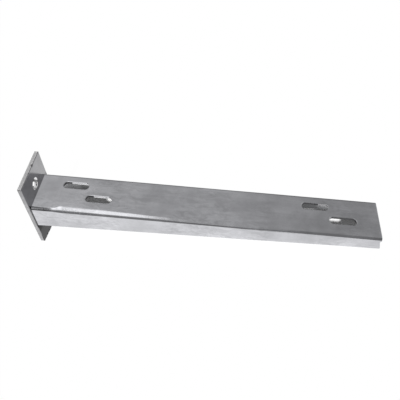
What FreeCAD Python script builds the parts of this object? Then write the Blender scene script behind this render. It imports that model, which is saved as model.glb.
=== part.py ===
import FreeCAD, Part
import math
import os
import Sketcher
from FreeCAD import Vector

# Cantilever arm: a tapered channel folded from one sheet, open side down, welded to an upright plate.
# X runs out along the arm and Z is up. The origin is on the plate's back, midway between its bolt holes.

SIZES = {
    "plate_width": 44.8,
    "plate_height": 76.0,
    "plate_thick": 3.4,
    "plate_corner_radius": 0.8,
    "plate_edge_radius": 0.4,
    "bolt_hole_dia": 11.0,
    "bolt_hole_spacing": 41.0,
    "bolt_hole_rim_radius": 0.5,
    "arm_length": 300.0,
    "arm_width": 41.3,
    "arm_below_plate_top": 26.5,
    "sheet_thick": 2.5,
    "bend_inside_radius": 0.8,
    "flange_root_depth": 25.3,
    "flange_tip_depth": 13.4,
    "flange_tip_setback": 1.2,
    "flange_tip_reach": 1.6,
    "flange_tip_shoulder": 1.3,
    "flange_tip_land": 0.8,
    "flange_tip_corner": 0.5,
    "slot_long": 23.2,
    "slot_wide": 7.0,
    "slot_rim_radius": 0.5,
    "slot_stagger": 23.3,
    "slot_row_spacing": 13.3,
    "slot_row_offset": 2.15,
    "root_slot_centre": 32.0,
    "tip_slot_centre": 31.3,
    "weld_leg": 3.0,
    "weld_crown": 0.35,
    "weld_stop": 2.0,
}

doc = FreeCAD.newDocument("cantilever_arm")
sheet = doc.addObject("Spreadsheet::Sheet", "sizes")
for row, (alias, value) in enumerate(SIZES.items(), 1):
    sheet.set("A%d" % row, alias)
    sheet.set("B%d" % row, str(value))
    sheet.setAlias("B%d" % row, alias)
doc.recompute()

# Places that several features share, each measured from the origin.
ROOT = "sizes.plate_thick"
TOP = "(sizes.plate_height / 2 - sizes.arm_below_plate_top)"
UNDER = "(sizes.plate_height / 2 - sizes.arm_below_plate_top - sizes.sheet_thick)"
INSIDE = "(sizes.arm_width - 2 * sizes.sheet_thick)"

# The same places as numbers, where the sketches start before their constraints take hold.
root = sheet.plate_thick
tip = root + sheet.arm_length
farthest = tip + sheet.flange_tip_reach
top = sheet.plate_height / 2 - sheet.arm_below_plate_top
under = top - sheet.sheet_thick
inside = sheet.arm_width - 2 * sheet.sheet_thick

# How a constraint names the points of a line or arc, the sketch's origin and its upright axis.
START, END, CENTRE = range(1, 4)
ORIGIN = (-START, START)
UPRIGHT_AXIS = -END


def newBody(name):
    body = doc.addObject("PartDesign::Body", name)
    body.Label = name
    return body


def originPart(body, role):
    """One of the body's own origin planes or axes."""
    return [f for f in body.Origin.OriginFeatures if f.Role == role][0]


def newSketch(body, name, plane, offset=None):
    """An empty sketch on one of the body's origin planes, moved along the plane's normal."""
    sketch = body.newObject("Sketcher::SketchObject", name)
    sketch.AttachmentSupport = [(originPart(body, plane), "")]
    sketch.MapMode = "FlatFace"
    if offset:
        sketch.setExpression("AttachmentOffset.Base.z", offset)
    return sketch


def line(sketch, start, end):
    return sketch.addGeometry(Part.LineSegment(Vector(*start, 0), Vector(*end, 0)), False)


def arc(sketch, centre, radius, fromAngle, toAngle):
    circle = Part.Circle(Vector(*centre, 0), Vector(0, 0, 1), radius)
    turn = Part.ArcOfCircle(circle, math.radians(fromAngle), math.radians(toAngle))
    return sketch.addGeometry(turn, False)


def relate(sketch, kind, *places):
    sketch.addConstraint(Sketcher.Constraint(kind, *places))


def dimension(sketch, name, kind, places, value, expression):
    """A named dimension that starts at value and follows the sheet."""
    index = sketch.addConstraint(Sketcher.Constraint(kind, *places, value))
    sketch.renameConstraint(index, name)
    sketch.setExpression("Constraints." + name, expression)


def addFeature(body, kind, name, profile=None, **settings):
    """A feature on the body's present shape. A setting that is text is an expression."""
    feature = body.newObject("PartDesign::" + kind, name)
    if profile:
        feature.Profile = profile
        profile.Visibility = False
    for key, value in settings.items():
        if isinstance(value, str) and key not in ("Type", "SideType"):
            feature.setExpression(key, value)
        else:
            setattr(feature, key, value)
    body.Tip = feature
    doc.recompute()
    return feature


def roundEdges(body, name, feature, radius, test):
    """A fillet on those edges of the feature that pass the test."""
    edges = ["Edge%d" % i for i, edge in enumerate(feature.Shape.Edges, 1) if test(edge.BoundBox)]
    if not edges:
        raise RuntimeError("no edge found for " + name)
    return addFeature(body, "Fillet", name, Base=(feature, edges), Radius=radius)


def near(a, b):
    """True where two levels are one level, to a hundredth of a millimetre."""
    return round(abs(a - b), 2) == 0


def foldedSection(body):
    """The channel's section at its root: an upside-down U of one thickness with two round bends."""
    sketch = newSketch(body, "folded_section", "YZ_Plane", ROOT)
    half = sheet.arm_width / 2
    inner = sheet.bend_inside_radius
    outer = inner + sheet.sheet_thick
    low = top - sheet.flange_root_depth
    turn = top - outer

    frontOut = line(sketch, (-half, low), (-half, turn))
    frontBend = arc(sketch, (outer - half, turn), outer, 90, 180)
    web = line(sketch, (outer - half, top), (half - outer, top))
    rearBend = arc(sketch, (half - outer, turn), outer, 0, 90)
    rearOut = line(sketch, (half, turn), (half, low))
    rearCut = line(sketch, (half, low), (inside / 2, low))
    rearIn = line(sketch, (inside / 2, low), (inside / 2, turn))
    rearInBend = arc(sketch, (half - outer, turn), inner, 0, 90)
    webUnder = line(sketch, (half - outer, under), (outer - half, under))
    frontInBend = arc(sketch, (outer - half, turn), inner, 90, 180)
    frontIn = line(sketch, (-inside / 2, turn), (-inside / 2, low))
    frontCut = line(sketch, (-inside / 2, low), (-half, low))

    for upright in (frontOut, rearOut, rearIn, frontIn):
        relate(sketch, "Vertical", upright)
    for flat in (web, rearCut, webUnder, frontCut):
        relate(sketch, "Horizontal", flat)
    relate(sketch, "Tangent", frontOut, END, frontBend, END)
    relate(sketch, "Tangent", frontBend, START, web, START)
    relate(sketch, "Tangent", web, END, rearBend, END)
    relate(sketch, "Tangent", rearBend, START, rearOut, START)
    relate(sketch, "Tangent", rearIn, END, rearInBend, START)
    relate(sketch, "Tangent", rearInBend, END, webUnder, START)
    relate(sketch, "Tangent", webUnder, END, frontInBend, START)
    relate(sketch, "Tangent", frontInBend, END, frontIn, START)
    relate(sketch, "Coincident", rearOut, END, rearCut, START)
    relate(sketch, "Coincident", rearCut, END, rearIn, START)
    relate(sketch, "Coincident", frontIn, END, frontCut, START)
    relate(sketch, "Coincident", frontCut, END, frontOut, START)
    relate(sketch, "Coincident", frontBend, CENTRE, frontInBend, CENTRE)
    relate(sketch, "Coincident", rearBend, CENTRE, rearInBend, CENTRE)
    relate(sketch, "Equal", frontBend, rearBend)
    relate(sketch, "Symmetric", frontOut, START, rearOut, END, UPRIGHT_AXIS)

    dimension(sketch, "width", "DistanceX", (frontOut, START, rearOut, END),
              sheet.arm_width, "sizes.arm_width")
    dimension(sketch, "depth", "DistanceY", (frontOut, START, web, START),
              sheet.flange_root_depth, "sizes.flange_root_depth")
    dimension(sketch, "topLevel", "DistanceY", (*ORIGIN, web, START), top, TOP)
    dimension(sketch, "insideBend", "Radius", (rearInBend,), inner, "sizes.bend_inside_radius")
    dimension(sketch, "outsideBend", "Radius", (rearBend,), outer,
              "sizes.bend_inside_radius + sizes.sheet_thick")
    return sketch


def flangeTaper(body):
    """What is trimmed off the flanges below the slanting line from root to tip, seen from the side."""
    sketch = newSketch(body, "flange_taper", "XZ_Plane")
    high = top - sheet.flange_tip_depth
    low = top - sheet.flange_root_depth
    spare = low - sheet.sheet_thick
    slant = line(sketch, (root, low), (farthest, high))
    end = line(sketch, (farthest, high), (farthest, spare))
    bottom = line(sketch, (farthest, spare), (root, spare))
    start = line(sketch, (root, spare), (root, low))
    for one, following in ((slant, end), (end, bottom), (bottom, start), (start, slant)):
        relate(sketch, "Coincident", one, END, following, START)
    relate(sketch, "Vertical", end)
    relate(sketch, "Horizontal", bottom)
    relate(sketch, "Vertical", start)
    dimension(sketch, "rootLevel", "DistanceY", (*ORIGIN, slant, START), low,
              TOP + " - sizes.flange_root_depth")
    dimension(sketch, "tipLevel", "DistanceY", (*ORIGIN, slant, END), high,
              TOP + " - sizes.flange_tip_depth")
    dimension(sketch, "rootPlace", "DistanceX", (*ORIGIN, slant, START), root, ROOT)
    dimension(sketch, "length", "DistanceX", (slant, START, slant, END),
              farthest - root, "sizes.arm_length + sizes.flange_tip_reach")
    dimension(sketch, "spare", "DistanceY", (start, START, start, END),
              sheet.sheet_thick, "sizes.sheet_thick")
    return sketch


def tipTrim(body):
    """What is cut off at the tip, seen from the side: the web ends first, and the flanges lean out below."""
    sketch = newSketch(body, "tip_trim", "XZ_Plane")
    over = top + sheet.sheet_thick
    shoulder = (tip - sheet.flange_tip_setback, under - sheet.flange_tip_shoulder)
    land = top - sheet.flange_tip_depth + sheet.flange_tip_land
    beyond = farthest + sheet.sheet_thick
    corners = [(tip, over), (tip, under), shoulder, (farthest, land), (beyond, land), (beyond, over)]
    sides = [line(sketch, corners[i], corners[(i + 1) % 6]) for i in range(6)]
    webEnd, relief, lean, ledge, outer, lid = sides
    for i, side in enumerate(sides):
        relate(sketch, "Coincident", side, END, sides[(i + 1) % 6], START)
    for upright in (webEnd, outer):
        relate(sketch, "Vertical", upright)
    for flat in (ledge, lid):
        relate(sketch, "Horizontal", flat)
    dimension(sketch, "tipPlace", "DistanceX", (*ORIGIN, webEnd, END), tip, ROOT + " + sizes.arm_length")
    dimension(sketch, "webLevel", "DistanceY", (*ORIGIN, webEnd, END), under, UNDER)
    dimension(sketch, "setback", "DistanceX", (relief, END, relief, START),
              sheet.flange_tip_setback, "sizes.flange_tip_setback")
    dimension(sketch, "shoulder", "DistanceY", (relief, END, relief, START),
              sheet.flange_tip_shoulder, "sizes.flange_tip_shoulder")
    dimension(sketch, "reach", "DistanceX", (webEnd, END, lean, END),
              sheet.flange_tip_reach, "sizes.flange_tip_reach")
    dimension(sketch, "landLevel", "DistanceY", (*ORIGIN, lean, END), land,
              TOP + " - sizes.flange_tip_depth + sizes.flange_tip_land")
    dimension(sketch, "spareOut", "DistanceX", (ledge, START, ledge, END),
              sheet.sheet_thick, "sizes.sheet_thick")
    dimension(sketch, "spareUp", "DistanceY", (*ORIGIN, lid, START), over, TOP + " + sizes.sheet_thick")
    return sketch


def addSlot(sketch, name, centre, centreX, centreY):
    """One round-ended slot that runs along X, at centre."""
    radius = sheet.slot_wide / 2
    reach = sheet.slot_long / 2 - radius
    x, y = centre
    left = arc(sketch, (x - reach, y), radius, 90, 270)
    right = arc(sketch, (x + reach, y), radius, -90, 90)
    rear = line(sketch, (x - reach, y + radius), (x + reach, y + radius))
    front = line(sketch, (x + reach, y - radius), (x - reach, y - radius))
    relate(sketch, "Horizontal", rear)
    relate(sketch, "Tangent", rear, START, left, START)
    relate(sketch, "Tangent", rear, END, right, END)
    relate(sketch, "Tangent", front, START, right, START)
    relate(sketch, "Tangent", front, END, left, END)
    relate(sketch, "Equal", left, right)
    dimension(sketch, name + "Radius", "Radius", (left,), radius, "sizes.slot_wide / 2")
    dimension(sketch, name + "Reach", "DistanceX", (left, CENTRE, right, CENTRE), 2 * reach,
              "sizes.slot_long - sizes.slot_wide")
    dimension(sketch, name + "X", "DistanceX", (*ORIGIN, left, CENTRE), x - reach,
              centreX + " - (sizes.slot_long - sizes.slot_wide) / 2")
    dimension(sketch, name + "Y", "DistanceY", (*ORIGIN, left, CENTRE), y, centreY)


def slotPair(body):
    """Two slots, the front one starting where the rear one ends."""
    sketch = newSketch(body, "slot_pair", "XY_Plane", TOP)
    x = root + sheet.root_slot_centre
    middle = sheet.slot_row_offset
    aside = sheet.slot_row_spacing / 2
    addSlot(sketch, "rear", (x, middle + aside), ROOT + " + sizes.root_slot_centre",
            "sizes.slot_row_offset + sizes.slot_row_spacing / 2")
    addSlot(sketch, "front", (x + sheet.slot_stagger, middle - aside),
            ROOT + " + sizes.root_slot_centre + sizes.slot_stagger",
            "sizes.slot_row_offset - sizes.slot_row_spacing / 2")
    return sketch


def makeArmChannel():
    """The arm: folded sheet, trimmed to its taper, with a slot pair near each end of its web."""
    body = newBody("arm_channel")
    blank = addFeature(body, "Pad", "folded_channel", foldedSection(body),
                       Length="sizes.arm_length + sizes.flange_tip_reach")
    whole = blank.Shape.Volume
    tapered = addFeature(body, "Pocket", "trimmed_flanges", flangeTaper(body), SideType="Symmetric",
                         Length="sizes.arm_width * 2")
    print("flange trim takes %.1f mm3" % (whole - tapered.Shape.Volume))
    ended = addFeature(body, "Pocket", "tip_ends", tipTrim(body), SideType="Symmetric",
                       Length="sizes.arm_width * 2")
    print("tip trim takes %.1f mm3" % (tapered.Shape.Volume - ended.Shape.Volume))
    pair = addFeature(body, "Pocket", "root_slots", slotPair(body), Length="sizes.sheet_thick * 2")
    print("root slots take %.1f mm3" % (ended.Shape.Volume - pair.Shape.Volume))
    slots = addFeature(body, "LinearPattern", "tip_slots", Originals=[pair],
                       Direction=(originPart(body, "X_Axis"), [""]), Occurrences=2,
                       Length="sizes.arm_length - sizes.root_slot_centre"
                              " - sizes.slot_stagger - sizes.tip_slot_centre")
    print("tip slots take %.1f mm3" % (pair.Shape.Volume - slots.Shape.Volume))

    flat = sheet.arm_width / 2 - sheet.bend_inside_radius - sheet.sheet_thick

    def onSlotRim(box):
        """Edges round the slots at the web's top, and not the web's own outline."""
        outline = near(box.XMin, root) or near(box.XMax, tip) or near(abs(box.YMin), flat)
        return near(box.ZMin, top) and near(box.ZMax, top) and not outline

    def onTipCorner(box):
        """The lower corner of each flange at the tip."""
        low = top - sheet.flange_tip_depth
        return near(box.XMin, farthest) and near(box.ZMin, low) and near(box.ZMax, low)

    rims = roundEdges(body, "slot_rims", slots, "sizes.slot_rim_radius", onSlotRim)
    roundEdges(body, "tip_corners", rims, "sizes.flange_tip_corner", onTipCorner)
    return body


def makeHeadPlate():
    """The upright plate: a sheared rectangle, one bolt hole above the arm and one below it."""
    body = newBody("head_plate")
    outline = newSketch(body, "plate_outline", "YZ_Plane")
    halfWide = sheet.plate_width / 2
    halfHigh = sheet.plate_height / 2
    corners = [(-halfWide, -halfHigh), (halfWide, -halfHigh), (halfWide, halfHigh), (-halfWide, halfHigh)]
    sides = [line(outline, corners[i], corners[(i + 1) % 4]) for i in range(4)]
    for i, side in enumerate(sides):
        relate(outline, "Coincident", side, END, sides[(i + 1) % 4], START)
        relate(outline, "Horizontal" if i % 2 == 0 else "Vertical", side)
    relate(outline, "Symmetric", sides[0], START, sides[2], START, *ORIGIN)
    dimension(outline, "width", "DistanceX", (sides[0], START, sides[0], END),
              sheet.plate_width, "sizes.plate_width")
    dimension(outline, "height", "DistanceY", (sides[1], START, sides[1], END),
              sheet.plate_height, "sizes.plate_height")
    plate = addFeature(body, "Pad", "plate", outline, Length="sizes.plate_thick")

    hole = newSketch(body, "bolt_hole", "YZ_Plane", ROOT)
    radius = sheet.bolt_hole_dia / 2
    middle = Vector(0, sheet.bolt_hole_spacing / 2, 0)
    rim = hole.addGeometry(Part.Circle(middle, Vector(0, 0, 1), radius), False)
    dimension(hole, "radius", "Radius", (rim,), radius, "sizes.bolt_hole_dia / 2")
    dimension(hole, "height", "DistanceY", (*ORIGIN, rim, CENTRE),
              sheet.bolt_hole_spacing / 2, "sizes.bolt_hole_spacing / 2")
    relate(hole, "PointOnObject", rim, CENTRE, UPRIGHT_AXIS)
    upper = addFeature(body, "Pocket", "upper_bolt_hole", hole, Length="sizes.plate_thick * 2")
    print("upper bolt hole takes %.1f mm3" % (plate.Shape.Volume - upper.Shape.Volume))
    both = addFeature(body, "Mirrored", "lower_bolt_hole", Originals=[upper],
                      MirrorPlane=(originPart(body, "XY_Plane"), [""]))
    print("lower bolt hole takes %.1f mm3" % (upper.Shape.Volume - both.Shape.Volume))

    def onCorner(box):
        """The four corners, each an edge through the plate's thickness."""
        return near(abs(box.YMin), halfWide) and near(box.YMin, box.YMax) and near(box.ZMin, box.ZMax)

    def onHoleRim(box):
        """The front rim of both bolt holes."""
        return near(box.XMin, root) and near(box.XMax, root) and near(box.YMax - box.YMin, 2 * radius)

    def onFaceOutline(box):
        """The outline of the front and back faces: every edge of theirs that reaches a side."""
        reach = (max(abs(box.YMin), abs(box.YMax)), max(abs(box.ZMin), abs(box.ZMax)))
        return near(box.XMin, box.XMax) and (near(reach[0], halfWide) or near(reach[1], halfHigh))

    cornered = roundEdges(body, "plate_corners", both, "sizes.plate_corner_radius", onCorner)
    rimmed = roundEdges(body, "bolt_hole_rims", cornered, "sizes.bolt_hole_rim_radius", onHoleRim)
    roundEdges(body, "plate_edges", rimmed, "sizes.plate_edge_radius", onFaceOutline)
    return body


def addBead(sketch, name, corner, alongX, alongPlate):
    """Half of a weld's section: two legs from the inside corner, and a crowned face between them."""
    leg = sheet.weld_leg
    crown = sheet.weld_crown
    radius = (leg * leg / 2 + crown * crown) / (2 * crown)
    x, y = corner
    out = line(sketch, (x, y), (x + leg * alongX, y))
    rise = line(sketch, (x, y + leg * alongPlate), (x, y))
    back = (radius - crown) / math.sqrt(2) - leg / 2
    centre = (x - back * alongX, y - back * alongPlate)
    start = math.degrees(math.atan2(y - centre[1], x + leg * alongX - centre[0]))
    end = math.degrees(math.atan2(y + leg * alongPlate - centre[1], x - centre[0]))
    if alongPlate > 0:
        face = arc(sketch, centre, radius, start, end)
        ends = (START, END)
    else:
        face = arc(sketch, centre, radius, end, start)
        ends = (END, START)
    relate(sketch, "Horizontal", out)
    relate(sketch, "Vertical", rise)
    relate(sketch, "Coincident", rise, END, out, START)
    relate(sketch, "Coincident", out, END, face, ends[0])
    relate(sketch, "Coincident", rise, START, face, ends[1])
    relate(sketch, "Equal", out, rise)
    dimension(sketch, name + "Leg", "DistanceX", (out, START, out, END), leg, "sizes.weld_leg")
    dimension(sketch, name + "Face", "Radius", (face,), radius,
              "(sizes.weld_leg * sizes.weld_leg / 2 + sizes.weld_crown * sizes.weld_crown)"
              " / (2 * sizes.weld_crown)")
    dimension(sketch, name + "Root", "DistanceX", (*ORIGIN, out, START), x, ROOT)
    return out


def makeRootWeld():
    """The weld inside the channel: under the web and down both flanges, fused where they meet."""
    body = newBody("root_weld")
    underWeb = newSketch(body, "under_web", "XZ_Plane")
    out = addBead(underWeb, "web", (root, under), 1, -1)
    dimension(underWeb, "webLevel", "DistanceY", (*ORIGIN, out, START), under, UNDER)
    addFeature(body, "Pad", "web_bead", underWeb, SideType="Symmetric", Length=INSIDE)

    downFlanges = newSketch(body, "down_flanges", "XY_Plane", UNDER)
    front = addBead(downFlanges, "front", (root, -inside / 2), 1, 1)
    rear = addBead(downFlanges, "rear", (root, inside / 2), 1, -1)
    dimension(downFlanges, "frontPlace", "DistanceY", (*ORIGIN, front, START), -inside / 2,
              "-" + INSIDE + " / 2")
    dimension(downFlanges, "rearPlace", "DistanceY", (*ORIGIN, rear, START), inside / 2, INSIDE + " / 2")
    beads = addFeature(body, "Pad", "flange_beads", downFlanges, Reversed=True,
                       Length="sizes.flange_root_depth - sizes.sheet_thick - sizes.weld_stop")

    bends = newSketch(body, "bend_corners", "YZ_Plane", ROOT)
    radius = sheet.bend_inside_radius
    for name, side, quarter in (("front", -1, (90, 180)), ("rear", 1, (0, 90))):
        wall = side * inside / 2
        upright = line(bends, (wall, under), (wall, under - radius))
        flat = line(bends, (wall - side * radius, under), (wall, under))
        turn = arc(bends, (wall - side * radius, under - radius), radius, *quarter)
        low, high = (START, END) if side > 0 else (END, START)
        relate(bends, "Vertical", upright)
        relate(bends, "Horizontal", flat)
        relate(bends, "Coincident", flat, END, upright, START)
        relate(bends, "Tangent", upright, END, turn, low)
        relate(bends, "Tangent", flat, START, turn, high)
        dimension(bends, name + "Radius", "Radius", (turn,), radius, "sizes.bend_inside_radius")
        dimension(bends, name + "Wall", "DistanceX", (*ORIGIN, upright, START), wall,
                  ("" if side > 0 else "-") + INSIDE + " / 2")
        dimension(bends, name + "Under", "DistanceY", (*ORIGIN, upright, START), under, UNDER)
    trimmed = addFeature(body, "Pocket", "bend_trim", bends, Reversed=True, Length="sizes.weld_leg * 2")
    print("bend trim takes %.3f mm3" % (beads.Shape.Volume - trimmed.Shape.Volume))
    return body


pieces = [makeArmChannel(), makeHeadPlate(), makeRootWeld()]
doc.recompute()

for item in doc.Objects:
    if "Invalid" in item.State or "Error" in item.State:
        raise RuntimeError("%s failed: %s" % (item.Name, item.State))
for piece in pieces:
    if piece.Shape.isNull() or not piece.Shape.isValid():
        raise RuntimeError(piece.Label + " has no valid shape")

os.makedirs("parts", exist_ok=True)
for piece in pieces:
    piece.Shape.exportStep("parts/%s.step" % piece.Label)
    box = piece.Shape.BoundBox
    print("%s: %d solid, %.1f mm3, x %.2f to %.2f, y %.2f to %.2f, z %.2f to %.2f" % (
        piece.Label, len(piece.Shape.Solids), piece.Shape.Volume,
        box.XMin, box.XMax, box.YMin, box.YMax, box.ZMin, box.ZMax))
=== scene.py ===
# Looks for the cantilever arm: galvanised sheet channel, head plate, weld run, floor, light and camera.
import math

import bmesh
import bpy
from mathutils import Matrix, Vector, geometry, noise


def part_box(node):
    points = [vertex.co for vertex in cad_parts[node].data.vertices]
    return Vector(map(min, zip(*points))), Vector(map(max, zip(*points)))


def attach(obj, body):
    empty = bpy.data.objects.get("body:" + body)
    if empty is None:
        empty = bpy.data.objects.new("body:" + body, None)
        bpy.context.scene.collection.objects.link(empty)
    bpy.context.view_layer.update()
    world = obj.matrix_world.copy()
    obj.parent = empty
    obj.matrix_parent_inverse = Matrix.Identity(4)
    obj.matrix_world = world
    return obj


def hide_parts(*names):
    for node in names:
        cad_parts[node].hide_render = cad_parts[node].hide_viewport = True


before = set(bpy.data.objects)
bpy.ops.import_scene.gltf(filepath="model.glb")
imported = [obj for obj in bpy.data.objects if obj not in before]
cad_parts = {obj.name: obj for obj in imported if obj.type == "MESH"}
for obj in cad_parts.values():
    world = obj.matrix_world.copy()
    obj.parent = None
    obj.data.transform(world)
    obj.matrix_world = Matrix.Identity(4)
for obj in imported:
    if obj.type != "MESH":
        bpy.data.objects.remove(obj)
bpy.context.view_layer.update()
print("frame loaded:", ", ".join(sorted(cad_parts)))

mm = 0.001


def boxInMm(node):
    low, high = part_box(node)
    return low / mm, high / mm


# Camera: the photograph's viewpoint, 400 x 400

cameraView = {
    "place": (0.16380, -0.23496, 0.31903),
    "right": (0.995311, 0.094399, 0.021073),
    "up": (-0.087335, 0.783481, 0.615248),
    "back": (0.041568, -0.614204, 0.788052),
    "lens": 39.735,
    "sensor": 36.0,
}


def makeCamera(v):
    data = bpy.data.cameras.new("camera")
    data.lens, data.sensor_width = v["lens"], v["sensor"]
    data.clip_start, data.clip_end = 0.01, 20.0
    thing = bpy.data.objects.new("camera", data)
    bpy.context.scene.collection.objects.link(thing)
    turn = Matrix((v["right"], v["up"], v["back"])).transposed().to_4x4()
    thing.matrix_world = Matrix.Translation(v["place"]) @ turn
    bpy.context.scene.camera = thing


makeCamera(cameraView)
print("camera placed")


# Node helpers

class NodeBench:
    # Adds and joins nodes of one tree with few words.
    def __init__(self, tree):
        self.tree = tree

    def add(self, kind, settings=None, **inputs):
        node = self.tree.nodes.new(kind)
        for key, value in (settings or {}).items():
            setattr(node, key, value)
        for key, value in inputs.items():
            self.feed(node, key, value)
        return node

    def feed(self, node, key, value):
        name = int(key[1:]) if key[0] == "i" and key[1:].isdigit() else key.replace("_", " ")
        socket = node.inputs[name]
        if isinstance(value, bpy.types.NodeSocket):
            self.tree.links.new(value, socket)
        elif isinstance(value, bpy.types.Node):
            self.tree.links.new(value.outputs[0], socket)
        else:
            socket.default_value = value

    def sum(self, kind, a, b=0.0):
        return self.add("ShaderNodeMath", {"operation": kind}, i0=a, i1=b).outputs[0]

    def ramp(self, value, lowIn, highIn, lowOut=0.0, highOut=1.0, soft=True):
        kind = "SMOOTHSTEP" if soft else "LINEAR"
        node = self.add("ShaderNodeMapRange", {"interpolation_type": kind}, i0=value,
                        i1=lowIn, i2=highIn, i3=lowOut, i4=highOut)
        return node.outputs[0]

    def mix(self, share, a, b):
        return self.add("ShaderNodeMix", None, i0=share, i2=a, i3=b).outputs[0]

    def scaled(self, vector, size):
        return self.add("ShaderNodeVectorMath", {"operation": "SCALE"}, i0=vector, Scale=size).outputs[0]


# Stage: white floor, key lamp, and the room that the metal mirrors

stage = {
    "floorSize": 6.0,
    "floorMiddle": 0.15,
    "floorWhite": 0.95,  # the floor as it lights the object and takes its shadow
    "floorMirrored": 0.93,  # the floor's tone in mirror rays
    "roomBehind": (70.0, 300.0, 0.35),  # where that tone falls towards the rear, and its value there
    "frontEnd": (-160.0, -85.0, 0.22),  # the same towards the viewer
    "frontEndRight": (190.0, 300.0),  # where the dark front ends on the right
    # patches of painted shade under and behind the arm, and one of painted light, in the floor's tone in
    # mirror rays, laid in turn: left, right, front, rear and soft edge in mm, and the tone
    "paintedShadeAndLightPatches": ((3.5, 75.0, -15.0, 20.0, 1.5, 0.11),
                        (3.5, 10.5, -27.0, 20.0, 1.0, 0.26),
                        (75.0, 300.0, -18.5, 20.0, 2.5, 0.19),
                        (50.0, 98.0, 20.0, 40.0, 3.0, 0.3),
                        (266.0, 292.0, -17.2, -13.9, 1.0, 1.1)),
    "cameraWhite": 0.99,  # how white the open floor is held for the camera
    "shadowKept": (0.0, 304.0, -24.0, 54.0, 4.0),  # the patch of floor that keeps its full shadow
    "paintedShadeThroughHole": ((20.5, 6.5, 0.1), (43.2, 47.4, 1.3), 0.10),  # painted shade on the floor seen through the bolt hole: hole's height, reach and soft edge, light band, tone
    "lampTurn": (-39.1, 0.0, 4.85),
    "lampSoft": 2.5,
    "lampPower": 3.95,
    "ambient": 0.1,
    # the room in mirror rays, from left to right: tone of the wall, its top in degrees, and tone of the sky
    "darkWall": ((-0.45, 0.12), (-0.35, 0.11), (-0.32, 0.25), (-0.29, 0.24), (-0.24, 0.19),
                 (-0.19, 0.24), (-0.1, 0.2), (0.0, 0.17), (0.1, 0.18), (0.2, 0.22),
                 (0.27, 0.24), (0.35, 0.19), (0.45, 0.12)),
    "wallTop": ((-0.45, -8), (-0.36, -6), (-0.34, 24), (-0.30, 48), (-0.20, 50), (-0.16, 40),
                (-0.11, 52), (-0.06, 66), (0.0, 70), (0.09, 68), (0.15, 45), (0.2, 10), (0.45, 8)),
    "wallSoft": 5.0,
    "sky": ((-0.45, 0.52), (-0.36, 0.515), (-0.31, 0.53), (-0.26, 0.45), (-0.18, 0.45), (-0.1, 0.46),
            (0.0, 0.47), (0.07, 0.44), (0.13, 0.375), (0.2, 0.35), (0.3, 0.345), (0.345, 0.31),
            (0.375, 0.4), (0.4, 0.55), (0.45, 0.57)),
    "rearDim": (-72.0, -46.0, 0.45),
    # two bright areas: the front bend mirrors the first, the bolt hole's wall the second
    "softBox": 1.36,
    "softBoxAcross": (-0.350, -0.338, -0.21, -0.09),
    "softBoxTilt": (-27.0, -15.0, 22.0, 46.0),
    "sideBox": 1.5,
    "sideBoxAcross": (-0.47, -0.46, -0.392, -0.384),
    "sideBoxTilt": (28.0, 34.0, 72.0, 84.0),
}


def makeFloor(v):
    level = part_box("head_plate")[0].z
    bpy.ops.mesh.primitive_grid_add(size=v["floorSize"], location=(v["floorMiddle"], 0, level))
    floor = bpy.context.object
    floor.name = "floor"
    mat = bpy.data.materials.new("floorWhite")
    mat.use_nodes = True
    mat.node_tree.nodes.clear()
    bench = NodeBench(mat.node_tree)
    path = bench.add("ShaderNodeLightPath")
    camera, glossy = path.outputs["Is Camera Ray"], path.outputs["Is Glossy Ray"]
    place = bench.add("ShaderNodeNewGeometry").outputs
    spot = bench.scaled(place["Position"], 1 / mm)
    x, y, z = bench.add("ShaderNodeSeparateXYZ", Vector=spot).outputs

    def band(value, low, high, soft):
        rise = bench.ramp(value, low - soft, low)
        return bench.sum("MULTIPLY", rise, bench.ramp(value, high, high + soft, 1, 0))

    def patch(left, right, front, rear, soft):
        return bench.sum("MULTIPLY", band(x, left, right, soft), band(y, front, rear, soft))

    # the tone that the metal mirrors
    near, far, dim = v["roomBehind"]
    mirrored = bench.ramp(y, near, far, v["floorMirrored"], dim)
    end, start, dark = v["frontEnd"]
    front = bench.sum("MULTIPLY", bench.ramp(y, end, start, 1, 0), bench.ramp(x, *v["frontEndRight"], 1, 0))
    mirrored = bench.mix(front, mirrored, dark)
    # painted shade under and behind the arm, and a painted patch of light, laid into the mirrored tone
    for *area, tone in v["paintedShadeAndLightPatches"]:
        mirrored = bench.mix(patch(*area), mirrored, tone)
    # where the line of sight crosses the head plate's middle, on its way to this spot of the floor
    sight = place["Incoming"]
    ahead = bench.add("ShaderNodeSeparateXYZ", Vector=sight).outputs[0]
    run = bench.sum("DIVIDE", bench.sum("SUBTRACT", boxInMm("head_plate")[1].x / 2, x), ahead)
    there = bench.add("ShaderNodeVectorMath", {"operation": "ADD"}, i0=spot, i1=bench.scaled(sight, run))
    aside, height = bench.add("ShaderNodeSeparateXYZ", Vector=there).outputs[1:]
    # painted shade on the floor seen through the bolt hole, apart from a light band
    (middle, reach, soft), lightBand, paintedHoleShade = v["paintedShadeThroughHole"]
    hole = bench.sum("MULTIPLY", camera, band(aside, -reach, reach, soft))
    hole = bench.sum("MULTIPLY", hole, band(height, middle - reach, middle + reach, soft))
    dim = bench.sum("MULTIPLY", hole, bench.sum("SUBTRACT", 1.0, band(y, *lightBand)))
    chalk = bench.add("ShaderNodeBsdfDiffuse", Color=bench.mix(dim, v["floorWhite"], paintedHoleShade))
    # the open floor is white for the camera
    clear = bench.sum("MULTIPLY", bench.sum("SUBTRACT", 1.0, patch(*v["shadowKept"])), v["cameraWhite"])
    clear = bench.sum("MULTIPLY", clear, bench.sum("SUBTRACT", camera, dim))
    glow = bench.add("ShaderNodeEmission", Strength=bench.mix(glossy, 1.0, mirrored))
    seen = bench.add("ShaderNodeMixShader", i0=bench.sum("MAXIMUM", clear, glossy), i1=chalk, i2=glow)
    # from below the floor can be seen through
    fromBelow = bench.add("ShaderNodeBsdfTransparent")
    both = bench.add("ShaderNodeMixShader", i0=place["Backfacing"], i1=seen, i2=fromBelow)
    bench.add("ShaderNodeOutputMaterial", Surface=both)
    floor.data.materials.append(mat)


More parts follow.
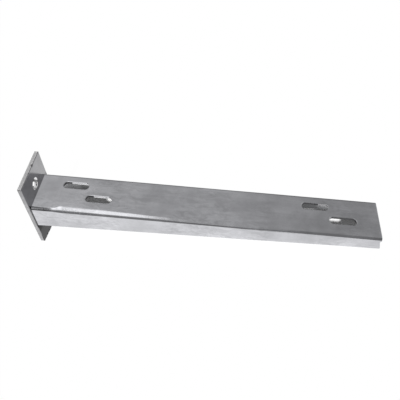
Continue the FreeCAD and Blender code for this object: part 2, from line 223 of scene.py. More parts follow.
def makeLamp(v):
    lamp = bpy.data.lights.new("keyLamp", "SUN")
    lamp.energy, lamp.angle = v["lampPower"], math.radians(v["lampSoft"])
    thing = bpy.data.objects.new("keyLamp", lamp)
    bpy.context.scene.collection.objects.link(thing)
    thing.rotation_euler = [-math.radians(a) for a in v["lampTurn"]]
    thing.visible_glossy = False  # the lamp lights the metal, but isn't mirrored


def makeRoom(v):
    world = bpy.data.worlds.new("room")
    bpy.context.scene.world = world
    world.use_nodes = True
    world.node_tree.nodes.clear()
    bench = NodeBench(world.node_tree)
    way = bench.add("ShaderNodeTexCoord").outputs["Generated"]
    across, deep, high = bench.add("ShaderNodeSeparateXYZ", Vector=way).outputs
    tilt = bench.sum("ARCTAN2", bench.sum("MULTIPLY", deep, -1.0), high)
    tilt = bench.sum("MULTIPLY", tilt, 180 / math.pi)

    def curveAcross(knots, scale=1.0):
        left, right = knots[0][0], knots[-1][0]
        curve = bench.add("ShaderNodeFloatCurve", Value=bench.ramp(across, left, right, 0, 1, False))
        points = curve.mapping.curves[0].points
        spots = [((x - left) / (right - left), value / scale) for x, value in knots]
        points[0].location, points[-1].location = spots[0], spots[-1]
        for spot in spots[1:-1]:
            points.new(*spot)
        curve.mapping.update()
        return bench.sum("MULTIPLY", curve.outputs[0], scale)

    rearmost, nearer, dim = v["rearDim"]
    sky = bench.sum("MULTIPLY", curveAcross(v["sky"]), bench.ramp(tilt, rearmost, nearer, dim, 1.0))
    overWall = bench.sum("SUBTRACT", tilt, curveAcross(v["wallTop"], 90.0))
    light = bench.mix(bench.ramp(overWall, -v["wallSoft"], v["wallSoft"]), sky, curveAcross(v["darkWall"]))
    for name in ("softBox", "sideBox"):
        box = 1.0
        for axis, (start, full, fade, end) in ((across, v[name + "Across"]), (tilt, v[name + "Tilt"])):
            box = bench.sum("MULTIPLY", box, bench.ramp(axis, start, full))
            box = bench.sum("MULTIPLY", box, bench.ramp(axis, fade, end, 1, 0))
        light = bench.mix(box, light, v[name])
    path = bench.add("ShaderNodeLightPath").outputs
    light = bench.mix(path["Is Diffuse Ray"], light, v["ambient"])
    plain = bench.sum("MAXIMUM", path["Is Camera Ray"], path["Is Transmission Ray"])
    glow = bench.add("ShaderNodeBackground", Color=(1, 1, 1, 1), Strength=bench.mix(plain, light, 1.0))
    bench.add("ShaderNodeOutputWorld", Surface=glow)


bpy.context.scene.view_settings.view_transform = "Standard"
makeFloor(stage)
makeLamp(stage)
makeRoom(stage)
print("stage set")


# Finishes

coatInputs = {"Mottle": 0.06, "Spangle": 0.02, "Streaks": 0.03, "Scuffs": 0.0, "Roughness": 0.28,
              "Grain": 1.0}

zincPattern = {
    "cloudScale": 38.0,  # soft blotches
    "flakeScale": 260.0,  # spangle
    "gritScale": 900.0,
    "wipeTurn": (0, 0, 0.5),  # streaks from wiping
    "wipeScale": (18, 120, 60),
    "smearTurn": (0, 0, 0.35),  # short handling marks
    "smearScale": (85, 200, 200),
    "wornScale": 21.0,  # the areas that have them
    "cloudRough": 0.04,
    "cloudHeight": 6.0,
}


def makeZincCoat(v):
    # Mottle, spangle, wiped streaks and scuffs of a zinc coat, shared by every finish.
    group = bpy.data.node_groups.new("zincCoat", "ShaderNodeTree")
    panel = group.interface
    for name, value in coatInputs.items():
        socket = panel.new_socket(name=name, in_out="INPUT", socket_type="NodeSocketFloat")
        socket.default_value = value
    panel.new_socket(name="Vector", in_out="INPUT", socket_type="NodeSocketVector")
    for name in ("Shade", "Roughness", "Height"):
        panel.new_socket(name=name, in_out="OUTPUT", socket_type="NodeSocketFloat")
    bench = NodeBench(group)
    given = bench.add("NodeGroupInput").outputs
    where = given["Vector"]
    cloud = bench.add("ShaderNodeTexNoise", Vector=where, Scale=v["cloudScale"], Detail=4.0, Roughness=0.62)
    patch = bench.ramp(cloud.outputs[0], 0.32, 0.68, -1, 1)
    flake = bench.add("ShaderNodeTexVoronoi", Vector=where, Scale=v["flakeScale"])
    tint = bench.add("ShaderNodeSeparateXYZ", Vector=flake.outputs["Color"]).outputs[0]
    tint = bench.ramp(tint, 0, 1, -1, 1, False)
    wiped = bench.add("ShaderNodeMapping", Vector=where, Rotation=v["wipeTurn"], Scale=v["wipeScale"])
    wipe = bench.add("ShaderNodeTexNoise", Vector=wiped, Scale=1.0, Detail=3.0)
    streak = bench.ramp(wipe.outputs[0], 0.35, 0.65, -1, 1)
    laid = bench.add("ShaderNodeMapping", Vector=where, Rotation=v["smearTurn"], Scale=v["smearScale"])
    smear = bench.add("ShaderNodeTexNoise", Vector=laid, Scale=1.0, Detail=4.0, Roughness=0.7,
                      Distortion=0.9)
    worn = bench.add("ShaderNodeTexNoise", Vector=where, Scale=v["wornScale"], Detail=1.0)
    worn = bench.ramp(worn.outputs[0], 0.4, 0.6)
    scuff = bench.sum("MULTIPLY", bench.ramp(smear.outputs[0], 0.3, 0.7, -1, 1), worn)
    shade = 1.0
    for mark, name in ((patch, "Mottle"), (tint, "Spangle"), (streak, "Streaks"), (scuff, "Scuffs")):
        shade = bench.sum("ADD", shade, bench.sum("MULTIPLY", mark, given[name]))
    rough = bench.sum("ADD", given["Roughness"], bench.sum("MULTIPLY", patch, v["cloudRough"]))
    grit = bench.add("ShaderNodeTexNoise", Vector=where, Scale=v["gritScale"], Detail=2.0)
    height = bench.sum("MULTIPLY", grit.outputs[0], given["Grain"])
    height = bench.sum("ADD", height, bench.sum("MULTIPLY", cloud.outputs[0], v["cloudHeight"]))
    bench.add("NodeGroupOutput", Shade=shade, Roughness=rough, Height=height)
    return group


zincCoat = makeZincCoat(zincPattern)

# two dark nicks in the plate's top edge: centre in mm, reach and depth of tone
nickMarks = (((3.3, 5.6, 37.8), 2.0, 0.55), ((3.4, -3.8, 38.0), 1.3, 0.3))

finishes = {
    "sheetSkin": {"colour": (0.618, 0.621, 0.648), "Mottle": 0.10, "Spangle": 0.012, "Streaks": 0.05,
                  "Scuffs": 0.13, "Roughness": 0.12, "Grain": 1.0, "bump": 0.08,
                  "paintedBendShade": ((14.0, 24.0), (-18.6, -17.6), (8.6, 9.6), 0.55)},  # painted shade on the front bend beside the plate: its edges and its depth
    # a darker copy of sheetSkin for the channel's inner side: painted shade
    "sheetInnerPaintedShade": {"colour": (0.46, 0.465, 0.48), "Mottle": 0.10, "Spangle": 0.02, "Streaks": 0.05,
                   "Roughness": 0.22, "Grain": 1.0, "bump": 0.08},
    "sheetCut": {"colour": (0.40, 0.40, 0.41), "Mottle": 0.14, "Spangle": 0.05, "Streaks": 0.05,
                 "Roughness": 0.42, "Grain": 4.0, "bump": 0.25},
    "sheetPunched": {"colour": (0.66, 0.66, 0.68), "metallic": 0.2, "Mottle": 0.10, "Spangle": 0.03,
                     "Streaks": 0.05, "Roughness": 0.20, "Grain": 2.0, "bump": 0.12},
    # a darker copy of sheetPunched, painted shade on one slot's wall
    "sheetSlotPaintedShade": {"colour": (0.41, 0.41, 0.42), "metallic": 0.2, "Mottle": 0.3, "Spangle": 0.1,
                    "Streaks": 0.1, "Roughness": 0.30, "Grain": 3.0, "bump": 0.3},
    # a near-black copy of the wall finish, painted shade on the slots' walls
    "sheetWallPaintedShade": {"colour": (0.14, 0.14, 0.145), "Mottle": 0.15, "Spangle": 0.05, "Streaks": 0.05,
                  "Roughness": 0.5, "Grain": 5.0, "bump": 0.3},
    "plateSkin": {"colour": (0.355, 0.354, 0.364), "Mottle": 0.05, "Spangle": 0.015, "Streaks": 0.03,
                  "Roughness": 0.20, "Grain": 1.0, "bump": 0.06, "marks": nickMarks,
                  "darkNearArm": (1.2, 3.4, 0.6, 0.15)},  # full within, gone past, depth, and share above the arm
    "plateCut": {"colour": (0.47, 0.47, 0.48), "Mottle": 0.18, "Spangle": 0.08, "Streaks": 0.05,
                 "Roughness": 0.36, "Grain": 5.0, "bump": 0.3},
    # the same sheared edge as plateCut, painted much lighter along the top: painted light
    "plateTopPaintedLight": {"colour": (0.97, 0.97, 0.975), "Mottle": 0.14, "Spangle": 0.08, "Streaks": 0.05,
                 "Roughness": 0.36, "Grain": 5.0, "bump": 0.3, "marks": nickMarks},
    "plateBore": {"colour": (0.88, 0.88, 0.89), "Mottle": 0.10, "Spangle": 0.05, "Streaks": 0.05,
                  "Roughness": 0.16, "Grain": 3.0, "bump": 0.15},
    "weldSkin": {"colour": (0.50, 0.50, 0.51), "Mottle": 0.15, "Spangle": 0.03, "Streaks": 0.0,
                 "Roughness": 0.38, "Grain": 3.0, "bump": 0.2},
}


def jointMask(bench, where, near, far, onTop):
    # How close a point of the plate is to the arm's outline, for darkening the plate there.
    low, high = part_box("arm_channel")
    x, y, z = bench.add("ShaderNodeSeparateXYZ", Vector=where).outputs
    aside = bench.sum("SUBTRACT", bench.sum("ABSOLUTE", y), high.y)
    above = bench.sum("SUBTRACT", z, high.z)
    below = bench.sum("SUBTRACT", low.z, z)
    away = bench.sum("MAXIMUM", aside, bench.sum("MAXIMUM", above, below))
    weight = bench.ramp(above, -1.0 * mm, 0.0, 1.0, onTop)
    ruffle = bench.add("ShaderNodeTexNoise", Vector=where, Scale=320.0, Detail=2.0)
    away = bench.sum("ADD", away, bench.ramp(ruffle.outputs[0], 0.3, 0.7, -0.8 * mm, 0.8 * mm))
    return bench.sum("MULTIPLY", weight, bench.ramp(away, near * mm, far * mm, 1.0, 0.0))


def bendShadeMask(bench, where, besidePlate, overBend, aboveFlange):
    # The stretch of the front bend, beside the plate, that takes painted shade.
    x, y, z = bench.add("ShaderNodeSeparateXYZ", Vector=where).outputs
    bendShadeShare = bench.ramp(x, besidePlate[0] * mm, besidePlate[1] * mm, 1, 0)
    bendShadeShare = bench.sum("MULTIPLY", bendShadeShare, bench.ramp(y, overBend[0] * mm, overBend[1] * mm, 1, 0))
    return bench.sum("MULTIPLY", bendShadeShare, bench.ramp(z, aboveFlange[0] * mm, aboveFlange[1] * mm))


def makeFinish(name):
    v = finishes[name]
    mat = bpy.data.materials.new(name)
    mat.use_nodes = True
    bench = NodeBench(mat.node_tree)
    shader = mat.node_tree.nodes["Principled BSDF"]
    where = bench.add("ShaderNodeTexCoord").outputs["Object"]
    values = {key: v.get(key, usual) for key, usual in coatInputs.items()}
    coat = bench.add("ShaderNodeGroup", {"node_tree": zincCoat}, Vector=where, **values).outputs
    shade, rough = coat["Shade"], coat["Roughness"]
    # painted shade: the front bend beside the plate is darkened
    if "paintedBendShade" in v:
        *area, depth = v["paintedBendShade"]
        bendShadeShare = bendShadeMask(bench, where, *area)
        shade = bench.sum("MULTIPLY", shade, bench.ramp(bendShadeShare, 0, 1, 1.0, 1 - depth, False))
    for centre, reach, depth in v.get("marks", ()):
        gap = bench.add("ShaderNodeVectorMath", {"operation": "DISTANCE"}, i0=where, i1=Vector(centre) * mm)
        dark = bench.ramp(gap.outputs["Value"], reach * 0.4 * mm, reach * mm, 1 - depth, 1.0)
        shade = bench.sum("MULTIPLY", shade, dark)
    # the plate is made darker near the arm's outline
    if "darkNearArm" in v:
        near, far, depth, onTop = v["darkNearArm"]
        darkNearArm = jointMask(bench, where, near, far, onTop)
        shade = bench.sum("MULTIPLY", shade, bench.ramp(darkNearArm, 0, 1, 1.0, 1 - depth, False))
        rough = bench.sum("ADD", rough, bench.sum("MULTIPLY", darkNearArm, 0.15))
    colour = bench.scaled(v["colour"], shade)
    bump = bench.add("ShaderNodeBump", Strength=v["bump"], Distance=0.2 * mm, Height=coat["Height"])
    sockets = {"Base_Color": colour, "Metallic": v.get("metallic", 1.0), "Roughness": rough, "Normal": bump}
    for socket, value in sockets.items():
        bench.feed(shader, socket, value)
    return mat


finish = {name: makeFinish(name) for name in finishes}
print("finishes made:", ", ".join(finish))


# Mesh helpers, in millimetres

sameSpot = 0.0005  # points closer than this are one
noArea = 1e-9  # faces smaller than this are left out


def gridOf(bm, rows, finishIndex=0):
    laid = [[bm.verts.new(p) for p in row] for row in rows]
    made = []
    for a, b in zip(laid, laid[1:]):
        made += [bm.faces.new((a[n], a[n + 1], b[n + 1], b[n])) for n in range(len(a) - 1)]
    for face in made:
        face.material_index = finishIndex
    return made


def smoothShading(bm, sharpAt):
    # Smooth faces, with edges sharp past an angle in degrees. It gives back how many edges are open.
    for face in bm.faces:
        face.smooth = True
    openEdges = 0
    for edge in bm.edges:
        if len(edge.link_faces) != 2:
            openEdges += 1
        elif edge.calc_face_angle(0.0) > math.radians(sharpAt):
            edge.smooth = False
    return openEdges


def pieceFrom(bm, name, skins, sharpAt=34.0):
    bmesh.ops.remove_doubles(bm, verts=bm.verts, dist=sameSpot)
    flat = [f for f in bm.faces if f.calc_area() < noArea]
    bmesh.ops.delete(bm, geom=flat, context="FACES")
    bmesh.ops.recalc_face_normals(bm, faces=bm.faces)
    openEdges = smoothShading(bm, sharpAt)
    bmesh.ops.scale(bm, vec=(mm, mm, mm), verts=bm.verts)
    mesh = bpy.data.meshes.new(name)
    bm.to_mesh(mesh)
    bm.free()
    for skin in skins:
        mesh.materials.append(finish[skin])
    thing = bpy.data.objects.new(name, mesh)
    bpy.context.scene.collection.objects.link(thing)
    print(f"{name}: {len(mesh.polygons)} faces, {openEdges} open edges")
    return thing


def edgeDrop(distance, radius, depth=None):
    # How far a rounded rim falls away at a distance from the cut.
    if distance >= radius:
        return 0.0
    share = 1 - distance / radius
    return (depth or radius) * (1 - math.sqrt(max(0.0, 1 - share * share)))


def triangulate(loops, loose, skip):
    # Fills a flat region between closed loops with triangles, and leaves out those that skip names.
    spots, links = [], []
    for loop in loops:
        first = len(spots)
        spots += [Vector(p) for p in loop]
        links += [(first + n, first + (n + 1) % len(loop)) for n in range(len(loop))]
    spots += [Vector(p) for p in loose]
    out = geometry.delaunay_2d_cdt(spots, links, [], 0, 1e-6)
    flat, faces = out[0], out[2]
    kept = []
    for face in faces:
        middle = sum((flat[n] for n in face), Vector((0, 0))) / len(face)
        if not skip(middle.x, middle.y):
            kept.append(face)
    return flat, kept


def capsule(x, y, reach, radius, turnSteps, runSteps):
    # The outline of a slot: two half rounds and two straights.
    out = []
    for side in (1, -1):
        for n in range(turnSteps):
            a = math.pi * n / turnSteps - math.pi / 2
            out.append((x + side * (reach + radius * math.cos(a)), y + side * radius * math.sin(a)))
        for n in range(runSteps):
            out.append((x + side * reach * (1 - 2 * n / runSteps), y + side * radius))
    return out


# Arm sheet: one folded channel, with punched slots

armSheet = {
    "thick": 2.5,
    # the flat web between the bends is meshed apart: its edges to the rear and front, and at both ends
    "rearStrip": 14.6,
    "frontStrip": 10.6,
    "endStrip": 1.5,
    "endRings": (0.0, 0.03, 0.1, 0.2, 0.34, 0.5, 1.0),
    "stepAlong": 2.5,
    "webRows": 11,
    "stagger": 0.25,
    # the bends, as turn in degrees along their length, and where along the arm the front one is soft
    "tightRoll": ((0, 0), (0.5, 4.0), (4.9, 83.0), (6.0, 90.0)),
    "softRoll": ((0, 0), (1.3, 3.0), (3.0, 8.0), (4.2, 14.0), (5.0, 22.0), (8.4, 76.0), (9.8, 88.0),
                 (10.6, 90.0)),
    "softShare": ((0.0, 0.0), (24.0, 0.0), (27.5, 1.0), (55.0, 1.0), (81.0, 0.6), (107.0, 0.25),
                  (150.0, 0.0)),
    "rollSteps": 34,
    "uprightFrom": 1.5,
    "flangeAtRoot": 25.3,
    "flangeAtTip": 13.4,
    "stripRows": 3,
    "flangeRows": 7,
    "cutRows": 4,
    "tipCorner": 0.5,
    "tipReach": 1.6,
    "tipLean": ((-1.1, 1.6), (7.7, -1.2), (9.0, 0.0)),  # how far the tip end stands out, by height
    "tipLeanFrom": 14.0,
    "edgeRadius": 0.35,
    "edgeRows": (0.5, 0.34, 0.2, 0.1, 0.03, 0.0),
    "slots": ((35.4, 8.8), (58.7, -4.5), (248.8, 8.8), (272.1, -4.5)),
    "slotReach": 8.1,
    "slotRadius": 3.5,
    "slotSteps": (24, 10),
    "clearOfSlots": 2.9,
    "rimWide": 0.7,
    "rimDeep": 0.35,
    "rimRings": (0.0, 0.03, 0.09, 0.18, 0.3, 0.44, 0.58, 0.7, 1.2, 2.0),
    "innerRings": (0.5, 1.4),
    "wallSteps": ((0.35, 0.0), (0.95, 0.0), (1.1, 0.04), (1.7, 0.08), (2.5, 0.12)),  # depth, set back
    "wallShadeTo": (-5.5, -5.5, 3.0, 99.0),  # how far along each slot, from its middle, the wall takes near-black painted shade; past that it keeps its punched finish
    "slotWithShade": 2,  # the slot whose wall past that point takes a darker copy of the punched finish, also painted shade
    "waveDeep": 0.07,
    "waveLong": 46.0,
    "waveWide": 24.0,
    "waveFade": 14.0,
    "waveSeed": 3.7,
}


def between(knots, at):
    # The value at a place along a line of knots.
    for (a, low), (b, high) in zip(knots, knots[1:]):
        if at <= b:
            return low + (high - low) * (at - a) / (b - a)
    return knots[-1][1]


def rolledEdge(tight, soft, share, steps):
    # The outer skin from the flat web to the upright flange, as (run outwards, drop, turn).
    def stepAt(n):
        dy = dz = 0.0
        for knots, weight in ((tight, 1 - share), (soft, share)):
            length = knots[-1][0]
            turn = math.radians(between(knots, length * n / steps))
            dy += weight * length / steps * math.cos(turn)
            dz += weight * length / steps * math.sin(turn)
        return dy, dz

    out, y, z = [(0.0, 0.0, 0.0)], 0.0, 0.0
    for n in range(steps):
        dy, dz = stepAt(n + 0.5)
        y, z = y + dy, z + dz
        dy, dz = stepAt(n + 1)
        out.append((y, z, math.atan2(dz, dy)))
    return out


def makeArmSheet(v):
    low, high = boxInMm("arm_channel")
    root, tip, top, half, thick = low.x, high.x - v["tipReach"], high.z, high.y, v["thick"]
    skins = ("sheetSkin", "sheetInnerPaintedShade", "sheetCut", "sheetPunched", "sheetWallPaintedShade", "sheetSlotPaintedShade")
    # the inner skin and some slot walls take darker copies of the finish: painted shade
    innerShadeFace, cutFace, punchedFace, wallShadeFace, slotShadeFace = range(1, len(skins))
    bm = bmesh.new()

    def wave(x, y):
        # Real sheet is never quite flat: a shallow sway that dies out at the head plate.
        fade = min(1.0, (x - root) / v["waveFade"])
        spot = Vector((x / v["waveLong"], y / v["waveWide"], v["waveSeed"]))
        return v["waveDeep"] * fade * noise.noise(spot)

    # stations along the arm: close together at both ends, where the edges are rounded
    count = round((tip - root - 2 * v["endStrip"]) / v["stepAlong"])
    span = (tip - root - 2 * v["endStrip"]) / count
    middles = [root + v["endStrip"] + span * n for n in range(count + 1)]
    stations = [root + e for e in v["endRings"]] + middles + [tip - e for e in reversed(v["endRings"])]

    def tipShift(x, z):
        # Seen from the side the web's end is upright, and the flanges lean out below a small notch.
        share = max(0.0, (x - tip + v["tipLeanFrom"]) / v["tipLeanFrom"])
        return between(v["tipLean"], max(z, v["tipLean"][0][0])) * share * share * (3 - 2 * share)

    def lowEdge(x):
        share = (x + tipShift(x, low.z) - root) / (high.x - root)
        level = top - (v["flangeAtRoot"] + (v["flangeAtTip"] - v["flangeAtRoot"]) * share)
        near = x - (tip - v["tipCorner"])
        if near > 0:
            level += v["tipCorner"] - math.sqrt(max(0.0, v["tipCorner"] ** 2 - near ** 2))
        return level

    def endDrop(x):
        # the root is pressed against the plate, so only the tip is rounded
        return edgeDrop(tip - x, v["edgeRadius"])

    def sideRow(x, side):
        # Outer and inner skin at one station, from the slot strip down the flange.
        share = between(v["softShare"], x) if side < 0 else 0.0
        rolled = rolledEdge(v["tightRoll"], v["softRoll"], share, v["rollSteps"])
        rollStart = half - rolled[-1][0]
        strip = v["rearStrip"] if side > 0 else v["frontStrip"]
        flat, upright = v["stripRows"], v["flangeRows"]
        spots = [(strip + (rollStart - strip) * n / flat, top, 0.0) for n in range(flat)]
        spots += [(rollStart + y, top - z, turn) for y, z, turn in rolled]
        start, end = spots[-1][1], lowEdge(x)
        firm = end + v["edgeRows"][0]
        spots += [(half, start + (firm - start) * n / upright, math.pi / 2) for n in range(1, upright)]
        spots += [(half, end + d, math.pi / 2) for d in v["edgeRows"]]
        outer, inner = [], []
        for y, z, turn in spots:
            out = Vector((0, side * math.sin(turn), math.cos(turn)))
            unrolled = side * (y + (top - z))
            base = Vector((x, side * y, z)) + out * wave(x, unrolled)
            fall = endDrop(x)
            if turn > v["uprightFrom"]:
                fall += edgeDrop(z - end, v["edgeRadius"])
            outer.append(base - out * fall)
            inner.append(base - out * thick)
        for spot in outer + inner:
            spot.x += tipShift(x, spot.z)
        return outer, inner

    def across(a, b):
        return [a.lerp(b, n / v["cutRows"]) for n in range(v["cutRows"] + 1)]

    for side in (1, -1):
        pairs = [sideRow(x, side) for x in stations]
        gridOf(bm, [p[0] for p in pairs])
        gridOf(bm, [p[1] for p in pairs], innerShadeFace)
        gridOf(bm, [across(p[0][-1], p[1][-1]) for p in pairs], cutFace)
        for p in (pairs[0], pairs[-1]):
            gridOf(bm, [across(a, b) for a, b in zip(*p)], cutFace)

    # the web: a strip at each end, and the part with the slots between them
    front, rear = -v["frontStrip"], v["rearStrip"]
    gap = (rear - front) / v["webRows"]
    sides = [front + gap * n for n in range(v["webRows"] + 1)]

    def webPoint(x, y, depth):
        return Vector((x, y, top + wave(x, y) - depth))

    stripCount = len(v["endRings"]) + 1
    for line in (stations[:stripCount], stations[-stripCount:]):
        gridOf(bm, [[webPoint(x, y, endDrop(x)) for y in sides] for x in line])
        gridOf(bm, [[webPoint(x, y, thick) for y in sides] for x in line], innerShadeFace)
    for x in (root, tip):
        gridOf(bm, [across(webPoint(x, y, endDrop(x)), webPoint(x, y, thick)) for y in sides], cutFace)

    border = [(x, front) for x in middles] + [(middles[-1], y) for y in sides[1:]]
    border += [(x, rear) for x in reversed(middles[:-1])] + [(middles[0], y) for y in reversed(sides[1:-1])]

    def toSlot(x, y):
        return min(math.hypot(max(abs(x - sx) - v["slotReach"], 0), y - sy) - v["slotRadius"]
                   for sx, sy in v["slots"])

    loose = []
    for n, x in enumerate(middles[1:-1]):
        shift = gap * v["stagger"] * (1 if n % 2 else -1)
        loose += [(x, y + shift) for y in sides[1:-1] if toSlot(x, y) > v["clearOfSlots"]]

    def slotLoop(slot, grow):
        return capsule(*slot, v["slotReach"], v["slotRadius"] + grow, *v["slotSteps"])

    def layWeb(rings, skipInside, depthAt, finishIndex=0):
        loops = [border] + [slotLoop(slot, ring) for slot in v["slots"] for ring in rings]
        flat, faces = triangulate(loops, loose, lambda x, y: toSlot(x, y) < skipInside)
        laid = [bm.verts.new(webPoint(p.x, p.y, depthAt(p.x, p.y))) for p in flat]
        for face in faces:
            bm.faces.new([laid[n] for n in face]).material_index = finishIndex

    layWeb(v["rimRings"], v["rimRings"][0],
           lambda x, y: edgeDrop(max(0.0, toSlot(x, y)), v["rimWide"], v["rimDeep"]))
    lastGrow = v["wallSteps"][-1][1]
    layWeb((lastGrow, *v["innerRings"]), lastGrow, lambda x, y: thick, innerShadeFace)
    # slot walls: painted shade on part of each, and a darker copy of the punched finish on one slot
    for number, slot in enumerate(v["slots"]):
        walls = []
        for depth, grow in v["wallSteps"]:
            loop = slotLoop(slot, grow)
            walls.append([webPoint(x, y, depth) for x, y in loop + loop[:1]])
        for face in gridOf(bm, walls, slotShadeFace if number == v["slotWithShade"] else punchedFace):
            if face.calc_center_median().x - slot[0] < v["wallShadeTo"][number]:
                face.material_index = wallShadeFace
    return pieceFrom(bm, "armSheet", skins)


arm = makeArmSheet(armSheet)
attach(arm, "root")
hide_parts("arm_channel")
print("arm sheet in place")


# Head plate: sheared flat bar with two punched holes

headPlate = {
    "cornerRadius": 0.8,
    "cornerSteps": 4,
    "edgeStep": 0.8,
    "gridStep": 2.4,
    "clearOfRims": 2.0,
    "rimRings": (0.0, 0.04, 0.12, 0.24, 0.4, 0.6, 0.85, 1.2),
    "rimWide": 0.7,
    "rimDeep": 0.45,
    "backRings": (0.0, 0.06, 0.2, 1.0),
    "backRadius": 0.12,
    "holes": ((0.0, 20.5), (0.0, -20.5)),
    "holeRadius": 5.5,
    "holeSteps": 56,
    # the sheared edge and the holes' walls: depth from the front face, and how far the wall stands back
    "shearSteps": ((0.45, 0.0), (0.9, 0.02), (1.5, 0.03), (1.75, 0.08), (2.2, 0.1), (2.8, 0.08),
                   (3.2, 0.03)),
    "topBand": 0.6,
    "wobble": 0.09,
    "wobbleReach": 1.6,
    "wobbleLong": 3.2,
    "fineShare": 0.35,
    "fineLong": 0.9,
    "waveDeep": 0.05,
    "waveLong": 21.0,
    "waveSeed": 9.0,
    "nicks": ((5.7, 37.8, 1.8, 1.2, 0.3), (-3.8, 37.9, 1.1, 0.9, 0.25)),  # place, half sizes and depth
    "nickFrom": 0.8,
}


def makeHeadPlate(v):
    thick, halfY, halfZ = boxInMm("head_plate")[1]
    skins = ("plateSkin", "plateCut", "plateTopPaintedLight", "plateBore")
    cutFace, paintedLightFace, boreFace = range(1, len(skins))
    bm = bmesh.new()

    def outline(inset):
        # A rounded rectangle, as points of even spacing.
        radius = max(0.05, v["cornerRadius"] - inset)
        wide, tall = halfY - inset - radius, halfZ - inset - radius
        corners = ((wide, tall), (-wide, tall), (-wide, -tall), (wide, -tall))

        def onCorner(corner, quarters):
            a = math.pi / 2 * quarters
            return Vector((corner[0] + radius * math.cos(a), corner[1] + radius * math.sin(a)))

        out = []
        for turn, corner in enumerate(corners):
            out += [onCorner(corner, turn + n / v["cornerSteps"]) for n in range(v["cornerSteps"] + 1)]
            start, end = out[-1], onCorner(corners[(turn + 1) % 4], turn + 1)
            count = round(2 * (halfZ if turn % 2 else halfY) / v["edgeStep"])
            out += [start.lerp(end, n / count) for n in range(1, count)]
        return [tuple(p) for p in out]

    def circle(hole, grow):
        reach, steps = v["holeRadius"] + grow, v["holeSteps"]
        turns = [2 * math.pi * n / steps for n in range(steps)]
        return [(hole[0] + reach * math.cos(a), hole[1] + reach * math.sin(a)) for a in turns]

    def toEdge(y, z):
        return min(halfY - abs(y), halfZ - abs(z))

    def toHole(y, z):
        return min(math.hypot(y - hy, z - hz) for hy, hz in v["holes"]) - v["holeRadius"]

    def roughness(spot):
        return 0.5 + 0.5 * noise.noise(spot)

    def placed(x, y, z):
        # Sway of the face, wobble of the sheared edge and the nicks, all inwards from the true outline.
        near = max(0.0, 1 - toEdge(y, z) / v["wobbleReach"])
        sway = roughness(Vector((y, z, x * 0.5)) / v["wobbleLong"])
        pull = v["wobble"] * near * (sway + v["fineShare"] * roughness(Vector((y, z, x)) / v["fineLong"]))
        if halfY - abs(y) < halfZ - abs(z):
            y -= math.copysign(min(pull, abs(y)), y)
        else:
            z -= math.copysign(min(pull, abs(z)), z)
        for ny, nz, ry, rz, deep in v["nicks"]:
            share = ((y - ny) / ry) ** 2 + ((z - nz) / rz) ** 2
            if share < 1 and x > v["nickFrom"]:
                x -= deep * (1 - share) * (x - v["nickFrom"]) / (thick - v["nickFrom"])
        if x > thick / 2:
            x -= v["waveDeep"] * roughness(Vector((y, z, v["waveSeed"])) / v["waveLong"])
        return Vector((x, y, z))

    def layFace(rings, levelAt):
        loops = [outline(inset) for inset in rings]
        loops += [circle(hole, grow) for hole in v["holes"] for grow in rings]
        step, clear = v["gridStep"], v["clearOfRims"]
        loose = []
        for row in range(int(2 * halfZ / step)):
            for column in range(int(2 * halfY / step)):
                y = -halfY + step * (column + 0.5 + 0.2 * (row % 2))
                z = -halfZ + step * (row + 0.5)
                if toEdge(y, z) > clear and toHole(y, z) > clear:
                    loose.append((y, z))
        flat, faces = triangulate(loops, loose, lambda y, z: toHole(y, z) < 0)
        inside = [max(0.0, min(toEdge(*p), toHole(*p))) for p in flat]
        laid = [bm.verts.new(placed(levelAt(d), *p)) for p, d in zip(flat, inside)]
        for face in faces:
            bm.faces.new([laid[n] for n in face])

    layFace(v["rimRings"], lambda d: thick - edgeDrop(d, v["rimWide"], v["rimDeep"]))
    layFace(v["backRings"], lambda d: edgeDrop(d, v["backRadius"]))
    levels = [(thick - depth, grow) for depth, grow in v["shearSteps"]]
    levels = [(x, g) for x, g in levels if x > v["backRadius"]] + [(v["backRadius"], 0.0)]

    def wall(loopAt, finishIndex):
        loops = [(x, loopAt(grow)) for x, grow in levels]
        return gridOf(bm, [[placed(x, *p) for p in loop + loop[:1]] for x, loop in loops], finishIndex)

    # the top band of the sheared edge takes the lighter copy: painted light
    for face in wall(outline, cutFace):
        if abs(face.calc_center_median().z) > halfZ - v["topBand"]:
            face.material_index = paintedLightFace
    for hole in v["holes"]:
        wall(lambda grow: circle(hole, grow), boreFace)
    return pieceFrom(bm, "headPlate", skins)


plate = makeHeadPlate(headPlate)
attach(plate, "root")
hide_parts("head_plate")
plate.visible_glossy = False  # the photograph's web doesn't mirror the plate
print("head plate in place")


# Weld run: a fillet bead inside the channel, swept by geometry nodes

weldRun = {
    "insideRadius": 0.8,
    "leg": 3.0,
    "crown": 0.35,
    "stop": 2.0,
    "ripplePitch": 1.4,
    "rippleDeep": 0.06,
    "drift": (0.84, 0.94),
    "endTaper": (1.6, 0.45),  # length in mm, and size at the end
    "stepLong": 0.35,
    "flangeSteps": 24,
    "bendSteps": 9,
    "webSteps": 20,
    "sectionSteps": 8,
    "seed": 4.0,
}


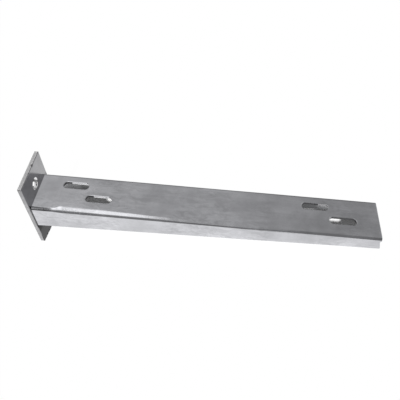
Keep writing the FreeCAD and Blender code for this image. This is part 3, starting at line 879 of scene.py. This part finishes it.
def makeWeldSweep(v):
    # Sweeps the fillet profile along the run, with ripples and tapered ends.
    group = bpy.data.node_groups.new("weldSweep", "GeometryNodeTree")
    panel = group.interface
    panel.new_socket(name="Run", in_out="INPUT", socket_type="NodeSocketGeometry")
    for name in ("Step", "Ripple Pitch", "Ripple Deep", "Seed"):
        panel.new_socket(name=name, in_out="INPUT", socket_type="NodeSocketFloat")
    panel.new_socket(name="Profile", in_out="INPUT", socket_type="NodeSocketObject")
    panel.new_socket(name="Finish", in_out="INPUT", socket_type="NodeSocketMaterial")
    panel.new_socket(name="Bead", in_out="OUTPUT", socket_type="NodeSocketGeometry")
    bench = NodeBench(group)
    given = bench.add("NodeGroupInput").outputs
    curve = bench.add("GeometryNodeMeshToCurve", None, i0=given["Run"])
    even = bench.add("GeometryNodeResampleCurve", {"mode": "LENGTH"}, Curve=curve, Length=given["Step"])
    along = bench.add("GeometryNodeSplineParameter").outputs["Length"]
    total = bench.add("GeometryNodeSplineLength").outputs["Length"]
    waves = bench.sum("MULTIPLY", bench.sum("DIVIDE", along, given["Ripple Pitch"]), 2 * math.pi)
    waves = bench.sum("MULTIPLY", bench.sum("SINE", waves), given["Ripple Deep"])
    drift = bench.add("ShaderNodeTexNoise", {"noise_dimensions": "4D"}, W=given["Seed"], Scale=400.0)
    size = bench.sum("ADD", waves, bench.ramp(drift.outputs[0], 0.3, 0.7, *v["drift"]))
    away = bench.sum("MINIMUM", along, bench.sum("SUBTRACT", total, along))
    taper, endSize = v["endTaper"]
    size = bench.sum("MULTIPLY", size, bench.ramp(away, 0.0, taper * mm, endSize, 1.0))
    sized = bench.add("GeometryNodeSetCurveRadius", None, Curve=even, Radius=size)
    outline = bench.add("GeometryNodeObjectInfo", None, Object=given["Profile"])
    profile = bench.add("GeometryNodeMeshToCurve", None, i0=outline.outputs["Geometry"])
    swept = bench.add("GeometryNodeCurveToMesh", None, Curve=sized, Profile_Curve=profile, Fill_Caps=True)
    real = bench.add("GeometryNodeRealizeInstances", None, i0=swept)
    done = bench.add("GeometryNodeSetMaterial", None, Geometry=real, Material=given["Finish"])
    bench.add("NodeGroupOutput", None, i0=done)
    return group


def wire(name, points, closed=False):
    mesh = bpy.data.meshes.new(name)
    links = [(n, n + 1) for n in range(len(points) - 1)] + ([(len(points) - 1, 0)] if closed else [])
    mesh.from_pydata([Vector(p) * mm for p in points], links, [])
    thing = bpy.data.objects.new(name, mesh)
    bpy.context.scene.collection.objects.link(thing)
    return thing


def makeWeldRun(v):
    low, high = boxInMm("arm_channel")
    seam, sheet, radius = low.x, armSheet["thick"], v["insideRadius"]
    inner, under = high.y - sheet, high.z - sheet
    start, bend = low.z + v["stop"], under - radius
    steps = v["flangeSteps"]
    run = [(seam, -inner, start + (bend - start) * n / steps) for n in range(steps + 1)]
    for n in range(1, v["bendSteps"]):
        a = math.pi / 2 * n / v["bendSteps"]
        run.append((seam, -inner + radius * (1 - math.cos(a)), bend + radius * math.sin(a)))
    run += [(seam, (-inner + radius) * (1 - n / v["webSteps"]), under) for n in range(v["webSteps"] + 1)]
    run += [(x, -y, z) for x, y, z in reversed(run[:-1])]
    section = [(0.0, 0.0, 0.0)]
    for n in range(v["sectionSteps"] + 1):
        share = n / v["sectionSteps"]
        bulge = v["crown"] * math.sin(math.pi * share) / math.sqrt(2)
        section.append((v["leg"] * (1 - share) + bulge, v["leg"] * share + bulge, 0.0))
    thing, profile = wire("weldRun", run), wire("weldSection", section, True)
    tool = thing.modifiers.new("sweep", "NODES")
    tool.node_group = makeWeldSweep(v)
    values = {"Step": v["stepLong"] * mm, "Ripple Pitch": v["ripplePitch"] * mm,
              "Ripple Deep": v["rippleDeep"], "Seed": v["seed"], "Profile": profile,
              "Finish": finish["weldSkin"]}
    for item in tool.node_group.interface.items_tree:
        if item.in_out == "INPUT" and item.name in values:
            tool[item.identifier] = values[item.name]
    bpy.context.view_layer.update()
    graph = bpy.context.evaluated_depsgraph_get()
    mesh = bpy.data.meshes.new_from_object(thing.evaluated_get(graph))
    thing.modifiers.clear()
    thing.data = mesh
    bpy.data.objects.remove(profile)
    bm = bmesh.new()
    bm.from_mesh(mesh)
    bmesh.ops.remove_doubles(bm, verts=bm.verts, dist=0.001 * mm)
    bmesh.ops.recalc_face_normals(bm, faces=bm.faces)
    openEdges = smoothShading(bm, 40.0)
    bm.to_mesh(mesh)
    bm.free()
    print(f"weldRun: {len(mesh.polygons)} faces, {openEdges} open edges")
    return thing


weld = makeWeldRun(weldRun)
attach(weld, "root")
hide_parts("root_weld")
print("weld run in place")
